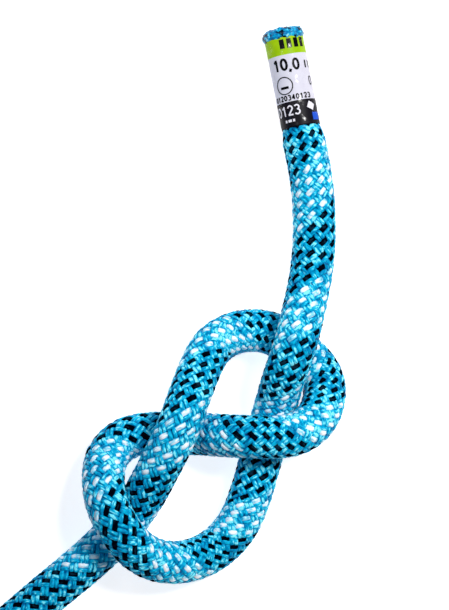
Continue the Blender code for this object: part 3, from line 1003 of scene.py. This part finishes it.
def yarn_material(name, tones, gloss):
    """Filament yarn: streaks of tone along it, with painted highlight streaks among them, painted light
    on its crowns, and painted shade at its sides and where it dives under.
    """
    shade = Shade(name)
    around, along = shade.uv()
    streak = shade.math("MULTIPLY", around, STREAKS_ACROSS)
    place = shade.put("CombineXYZ", streak, shade.math("MULTIPLY", along, STREAKS_ALONG))
    flecks = shade.speckle(1.0, 1.5, place.outputs[0])
    patch = shade.speckle(330.0, 1.0, shade.object_place())
    tone = shade.math("MULTIPLY_ADD", patch, PATCH_SHARE, shade.math("MULTIPLY", flecks, FLECK_SHARE))
    crown = shade.math("COSINE", shade.math("MULTIPLY", along, 2 * pi))
    side = shade.math("ABSOLUTE", shade.math("COSINE", shade.math("MULTIPLY", around, 2 * pi)))
    # Painted light on the yarn's crowns, painted shade where it dives under and at its sides
    lit = shade.math("MULTIPLY_ADD", crown, CROWN_PAINTED_SHADING, tone)
    lit = shade.math("MULTIPLY_ADD", shade.math("POWER", side, 3.0), SIDE_PAINTED_SHADE, lit)
    # The tones run from painted shade to painted highlight; the streak noise places the painted highlights
    colour = tones[0]
    for (low, high), lighter in zip(TONE_STEPS, tones[1:], strict=True):
        colour = shade.blend(shade.smooth(lit, low, high), colour, lighter)
    shade.set(
        Base_Color=colour,
        Roughness=shade.math("MULTIPLY_ADD", flecks, 0.25, 0.20),
        Specular_IOR_Level=gloss,
        Normal=shade.bump(flecks, 0.00012, 0.8),
    )
    return shade.material


def rope_material():
    """The braid as a pattern on the tube: cells where one pair lies over another, two yarns each.

    Under the separate yarns the tube is plain dark blue, as painted shade in the gaps between them.
    """
    shade = Shade("braid")
    u, v = shade.uv()
    right = shade.math("SUBTRACT", u, v)
    left = shade.math("ADD", u, v)
    right_number = shade.math("FLOOR", shade.math("ADD", right, 0.5))
    left_number = shade.math("FLOOR", shade.math("ADD", left, 0.5))
    right_across = shade.math("SUBTRACT", right, right_number)
    left_across = shade.math("SUBTRACT", left, left_number)
    parity = shade.math("FLOORED_MODULO", shade.math("ADD", right_number, left_number), 2.0)
    left_over = shade.math("GREATER_THAN", parity, 0.5)
    across = shade.either(left_over, right_across, left_across)
    along = shade.either(left_over, left_across, right_across)

    # The pair on top is two round yarns, highest in the middle of the cell
    in_yarn = shade.math("MULTIPLY_ADD", shade.math("ABSOLUTE", across), 4.0, -1.0)
    fall = shade.math("MULTIPLY_ADD", shade.math("MULTIPLY", in_yarn, in_yarn), -1.0, 1.0)
    roundness = shade.math("SQRT", shade.math("MAXIMUM", fall, 0.0))
    crown = shade.math("COSINE", shade.math("MULTIPLY", along, pi))
    height = shade.math("MULTIPLY", roundness, shade.math("MULTIPLY_ADD", crown, 0.7, 0.3))
    filaments = shade.math("SINE", shade.math("MULTIPLY", across, 2 * pi * FILAMENTS))
    raised = shade.math("MULTIPLY_ADD", filaments, 0.03, height)

    # One yarn of each right-handed pair is black or white
    accent_side = shade.math("GREATER_THAN", right_across, 0.0)
    accent = shade.either(left_over, accent_side, 0.0)
    pair = shade.math("FLOORED_MODULO", right_number, float(PAIRS))
    black = shade.math("LESS_THAN", pair, BLACK_PAIRS - 0.5)
    tone = shade.speckle(900.0, 2.0, shade.object_place())
    blue = shade.blend(shade.smooth(tone, 0.35, 0.65), BLUE_YARN[1], BLUE_YARN[2])
    accents = shade.blend(black, WHITE_YARN[2], BLACK_YARN[1])
    woven = shade.blend(accent, blue, accents)
    # Painted shade: dark blue in the gaps between the yarns and where a pair dives under, where the height
    # is low
    pattern = shade.blend(shade.smooth(height, 0.05, 0.5), (0.0, 0.03, 0.10), woven)
    # Under the separate yarns the whole tube is dark blue painted shade
    shaded_under_yarns = shade.math("LESS_THAN", v, COVER_END / FLOAT + BRAID[-1][1])
    colour = shade.blend(shaded_under_yarns, pattern, (0.0, 0.02, 0.07))
    shade.set(
        Base_Color=colour,
        Roughness=shade.math("MULTIPLY_ADD", tone, 0.25, 0.24),
        Specular_IOR_Level=0.5,
        Normal=shade.bump(raised, 0.0005, 0.9),
    )
    return shade.material


def label_material():
    """Printed film: a lime band, a white band and a black band along it."""
    shade = Shade("label_film")
    _, along = shade.uv()
    place = shade.object_place()
    tone = shade.speckle(400.0, 2.0, place)
    lime = shade.blend(tone, (0.20, 0.42, 0.0), (0.42, 0.62, 0.003))
    white = shade.blend(tone, (0.58, 0.57, 0.68), (0.68, 0.68, 0.77))
    black = shade.blend(tone, (0.001, 0.001, 0.003), (0.008, 0.006, 0.012))
    past_lime = shade.math("GREATER_THAN", along, LIME_END * MILLIMETRES)
    past_white = shade.math("GREATER_THAN", along, WHITE_END * MILLIMETRES)
    shade.set(
        Base_Color=shade.blend(past_white, shade.blend(past_lime, lime, white), black),
        Roughness=shade.math("MULTIPLY_ADD", tone, 0.2, 0.35),
        Specular_IOR_Level=0.1,
        Normal=shade.bump(tone, 0.00005, 0.4),
    )
    return shade.material


def ink_material(name, colour):
    """Printing ink in one colour."""
    shade = Shade(name)
    tone = shade.speckle(1500.0, 2.0, shade.object_place())
    lighter = tuple(c * 1.25 + 0.002 for c in colour)
    shade.set(
        Base_Color=shade.blend(tone, colour, lighter),
        Roughness=shade.math("MULTIPLY_ADD", tone, 0.2, 0.3),
        Specular_IOR_Level=0.05,
    )
    return shade.material


def sleeve_material():
    """Clear film: what is behind it shows, with a faint gloss in patches."""
    shade = Shade("clear_film")
    tone = shade.speckle(700.0, 3.0, shade.object_place())
    gloss = shade.put("BsdfGlossy", (1.0, 1.0, 1.0, 1.0), shade.math("MULTIPLY_ADD", tone, 0.15, 0.08))
    wrinkles = shade.bump(tone, 0.0001, 0.3)
    shade.tree.links.new(wrinkles, gloss.inputs["Normal"])
    clear = shade.put("BsdfTransparent", (1.0, 1.0, 1.0, 1.0))
    share = shade.math("MULTIPLY", shade.smooth(tone, 0.52, 0.68), SLEEVE_GLOSS)
    mixed = shade.put("MixShader", share, clear.outputs[0], gloss.outputs[0])
    output = shade.tree.nodes["Material Output"]
    shade.tree.links.new(mixed.outputs[0], output.inputs["Surface"])
    shade.tree.nodes.remove(shade.shader)
    return shade.material


def melted_material():
    """Fused yarn ends: lumps of blue, navy and near-black."""
    shade = Shade("melted_ends")
    place = shade.object_place()
    large = shade.speckle(520.0, 1.0, place)
    small = shade.speckle(1150.0, 2.0, place)
    navy = shade.blend(shade.smooth(large, 0.44, 0.54), (0.0, 0.006, 0.025), (0.0, 0.17, 0.42))
    colour = shade.blend(shade.smooth(small, 0.48, 0.58), navy, (0.003, 0.40, 0.68))
    colour = shade.blend(shade.smooth(small, 0.62, 0.70), colour, (0.35, 0.80, 0.92))
    shade.set(
        Base_Color=colour,
        Roughness=shade.math("MULTIPLY_ADD", small, 0.3, 0.15),
        Specular_IOR_Level=0.15,
        Normal=shade.bump(small, 0.0002, 0.6),
    )
    return shade.material


def webbing_material():
    """Black flat webbing: ribs across it, in a plain weave."""
    shade = Shade("webbing")
    around, along = shade.uv()
    ribs = shade.math("SINE", shade.math("MULTIPLY", along, 2 * pi / RIB_SPACING))
    warp = shade.math("SINE", shade.math("MULTIPLY", around, 2 * pi * WARP_YARNS))
    weave = shade.math("MULTIPLY", ribs, warp)
    tone = shade.speckle(500.0, 3.0, shade.object_place())
    # Lighter where the weave is raised and where the noise is high
    raised_or_speckled = shade.smooth(shade.math("MULTIPLY_ADD", weave, 0.2, tone), 0.3, 0.8)
    shade.set(
        Base_Color=shade.blend(raised_or_speckled, (0.010, 0.011, 0.014), (0.05, 0.052, 0.06)),
        Roughness=shade.math("MULTIPLY_ADD", tone, 0.25, 0.5),
        Sheen_Weight=0.2,
        Normal=shade.bump(weave, 0.00025, 0.8),
    )
    return shade.material


def thread_material():
    """Twisted blue sewing thread."""
    shade = Shade("stitching_thread")
    _, along = shade.uv()
    tone = shade.speckle(1800.0, 2.0, shade.object_place())
    plies = shade.math("SINE", shade.math("MULTIPLY", along, 40.0))
    shade.set(
        Base_Color=shade.blend(tone, (0.01, 0.30, 0.55), (0.03, 0.50, 0.80)),
        Roughness=shade.math("MULTIPLY_ADD", tone, 0.2, 0.4),
        Normal=shade.bump(plies, 0.00005, 0.6),
    )
    return shade.material


def core_material(name, dark, light):
    """Twisted fibre, for the strands inside the sheath."""
    shade = Shade(name)
    place = shade.object_place()
    fibre = shade.speckle(1600.0, 3.0, place)
    shade.set(
        Base_Color=shade.blend(fibre, dark, light),
        Roughness=shade.math("MULTIPLY_ADD", fibre, 0.3, 0.45),
        Sheen_Weight=0.2,
        Normal=shade.bump(fibre, 0.0002, 0.5),
    )
    return shade.material


def dress_core():
    """Materials of the CAD's core strands and marker thread, which keep their own shapes."""
    strand = core_material("core_fibre", (0.70, 0.71, 0.73), (0.88, 0.88, 0.90))
    marker = core_material("marker_fibre", (0.60, 0.14, 0.02), (0.85, 0.28, 0.05))
    chosen = {"core_strand": strand, "marker_thread": marker}
    for name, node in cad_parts.items():
        for start, made in chosen.items():
            if name.startswith(start):
                node.material_slots[0].material = made


# ---------------------------------------------------------------- floor and light


def make_floor():
    """A plain pale floor, which glows a little so that it stays even."""
    mesh = bpy.data.meshes.new("floor")
    near, far = -FLOOR_REACH, FLOOR_REACH
    corners = [(near, near, 0), (far, near, 0), (far, far, 0), (near, far, 0)]
    mesh.from_pydata(corners, [], [(0, 1, 2, 3)])
    shade = Shade("floor")
    shade.set(Base_Color=(0.72, 0.71, 0.72, 1.0), Roughness=0.9, Specular_IOR_Level=0.1)
    shade.set(Emission_Color=(1.0, 0.965, 0.96, 1.0), Emission_Strength=FLOOR_GLOW)
    mesh.materials.append(shade.material)
    placed("floor", mesh)


def make_lights():
    """Soft lamps towards the knot, in a dim studio."""
    for name, place, size, power, colour in LAMPS:
        data = bpy.data.lights.new(name, "AREA")
        data.shape = "DISK"
        data.size = size
        data.energy = power
        data.color = colour
        lamp = placed(name, data)
        lamp.location = place
        towards = Vector((*KNOT_PLACE[:2], 0.0)) - Vector(place)
        lamp.rotation_euler = towards.to_track_quat("-Z", "Y").to_euler()
    world = bpy.data.worlds.new("studio")
    world.use_nodes = True
    background = world.node_tree.nodes["Background"]
    background.inputs["Color"].default_value = (0.96, 0.97, 1.0, 1.0)
    background.inputs["Strength"].default_value = WORLD_STRENGTH
    bpy.context.scene.world = world
    bpy.context.scene.view_settings.view_transform = "Standard"


# ---------------------------------------------------------------- the whole


make_camera()
rope, path = make_rope()
on_rope = make_yarns() + make_ends() + make_ties()
dress_core()
make_floor()
make_lights()
